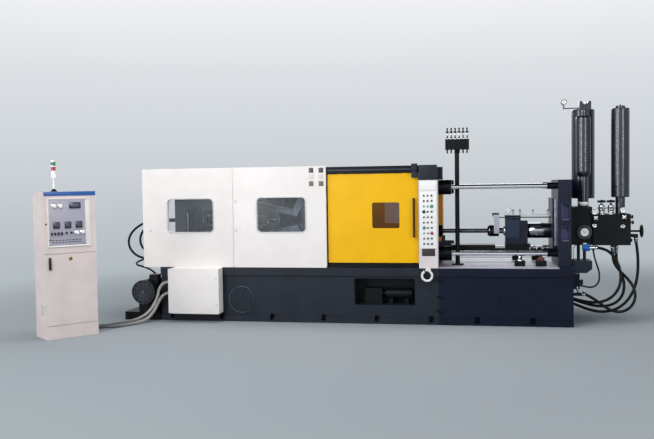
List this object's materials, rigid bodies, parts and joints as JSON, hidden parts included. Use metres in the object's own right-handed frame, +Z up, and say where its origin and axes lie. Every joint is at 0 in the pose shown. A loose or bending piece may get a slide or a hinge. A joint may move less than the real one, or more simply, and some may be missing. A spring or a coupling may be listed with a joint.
{
  "type": "cold-chamber die casting machine",
  "caption": "Horizontal cold-chamber die casting machine: guarded toggle clamp, injection unit with accumulators, operator panel and a free-standing control cabinet.",
  "frame": {"origin": "on the floor at the joint between the two bases, on the machine centre plane", "axes": "+X towards the injection end, +Y from the operator side to the rear, +Z up"},
  "size_m": [6.9076, 2.83, 2.6759],
  "materials": {
    "base_paint": "dark navy machine enamel, scuffed low down",
    "white_paint": "white enamel on sheet steel",
    "yellow_paint": "orange-yellow enamel on sheet steel",
    "dark_paint": "near-black enamel",
    "tray_paint": "light lilac-grey enamel",
    "platen_steel": "slate enamel on a machined casting",
    "machined_steel": "turned and milled steel",
    "chrome": "hard-chromed and polished",
    "black_enamel": "black gloss enamel",
    "valve_steel": "blackened steel manifold",
    "hose_rubber": "black oil hose cover",
    "conduit_skin": "ribbed grey conduit",
    "window_sheet": "smoked clear sheet",
    "guard_window": "clear polycarbonate sheet",
    "button_plastic": "moulded push buttons",
    "lamp_plastic": "translucent lamp lenses",
    "jack_paint": "red-brown primer with bright screws",
    "slate_paint": "slate-blue enamel",
    "motor_paint": "blue-black enamel"
  },
  "bodies": {
    "machine": {"accumulators": "black_enamel", "base_hydraulics": "dark_paint", "cabinet_body": "white_paint", "cabinet_instruments": "button_plastic", "clamp_base": "base_paint", "clamp_hose_front": "hose_rubber", "clamp_hose_rear": "hose_rubber", "closing_cylinder": "dark_paint", "conduit_lower": "conduit_skin", "conduit_upper": "conduit_skin", "crosshead": "platen_steel", "cylinder_rear_flange": "machined_steel", "door_rails": "dark_paint", "drain_hose": "hose_rubber", "drip_tray": "tray_paint", "fixed_platen": "platen_steel", "front_guards": "white_paint", "gas_bottle": "black_enamel", "guard_panes": "guard_window", "hose_front": "hose_rubber", "hose_looped": "hose_rubber", "hose_middle": "hose_rubber", "hose_outer": "hose_rubber", "injection_base": "base_paint", "injection_cylinder": "slate_paint", "injection_frame": "slate_paint", "injection_tie_rods": "chrome", "lower_valve_block": "valve_steel", "manhole_cover": "base_paint", "manifold_post": "dark_paint", "motor_skid": "dark_paint", "moving_platen": "platen_steel", "operator_buttons": "button_plastic", "operator_panel": "white_paint", "panel_hook": "white_paint", "pump_hose": "hose_rubber", "pump_set": "motor_paint", "rear_corner_panel": "yellow_paint", "rear_guards": "white_paint", "screw_jacks": "jack_paint", "shot_sleeve": "machined_steel", "shot_valve_stack": "valve_steel", "signal_lamp": "lamp_plastic", "spray_manifold": "valve_steel", "support_beam": "dark_paint", "switch_rail": "machined_steel", "tail_platen": "platen_steel", "terminal_box": "white_paint", "tie_bar_nuts": "black_enamel", "tie_bars": "chrome", "toggle_links": "machined_steel", "valve_block": "valve_steel"},
    "front_door": {"front_door": "yellow_paint", "front_door_pane": "window_sheet"},
    "rear_door": {"rear_door": "yellow_paint", "rear_door_pane": "window_sheet"},
    "shot": {"shot_rods": "chrome", "rod_coupling": "machined_steel"},
    "cabinet_door": {"cabinet_door": "white_paint"},
    "handwheel": {"handwheel": "dark_paint"}
  },
  "joints": [
    {"name": "front_door_slide", "type": "slide", "parent": "machine", "child": "front_door", "axis": [-1, 0, 0], "range_m": [0, 0.9]},
    {"name": "rear_door_slide", "type": "slide", "parent": "machine", "child": "rear_door", "axis": [-1, 0, 0], "range_m": [0, 0.9]},
    {"name": "shot_slide", "type": "slide", "parent": "machine", "child": "shot", "axis": [-1, 0, 0], "range_m": [0, 0.37]},
    {"name": "cabinet_door_hinge", "type": "hinge", "parent": "machine", "child": "cabinet_door", "pos_m": [-3.8534, -1.671, 0.55], "axis": [0, 0, 1], "range_deg": [0, 110]},
    {"name": "handwheel_turn", "type": "hinge", "parent": "machine", "child": "handwheel", "pos_m": [2.398, 0, 1.068], "axis": [1, 0, 0], "continuous": true}
  ]
}
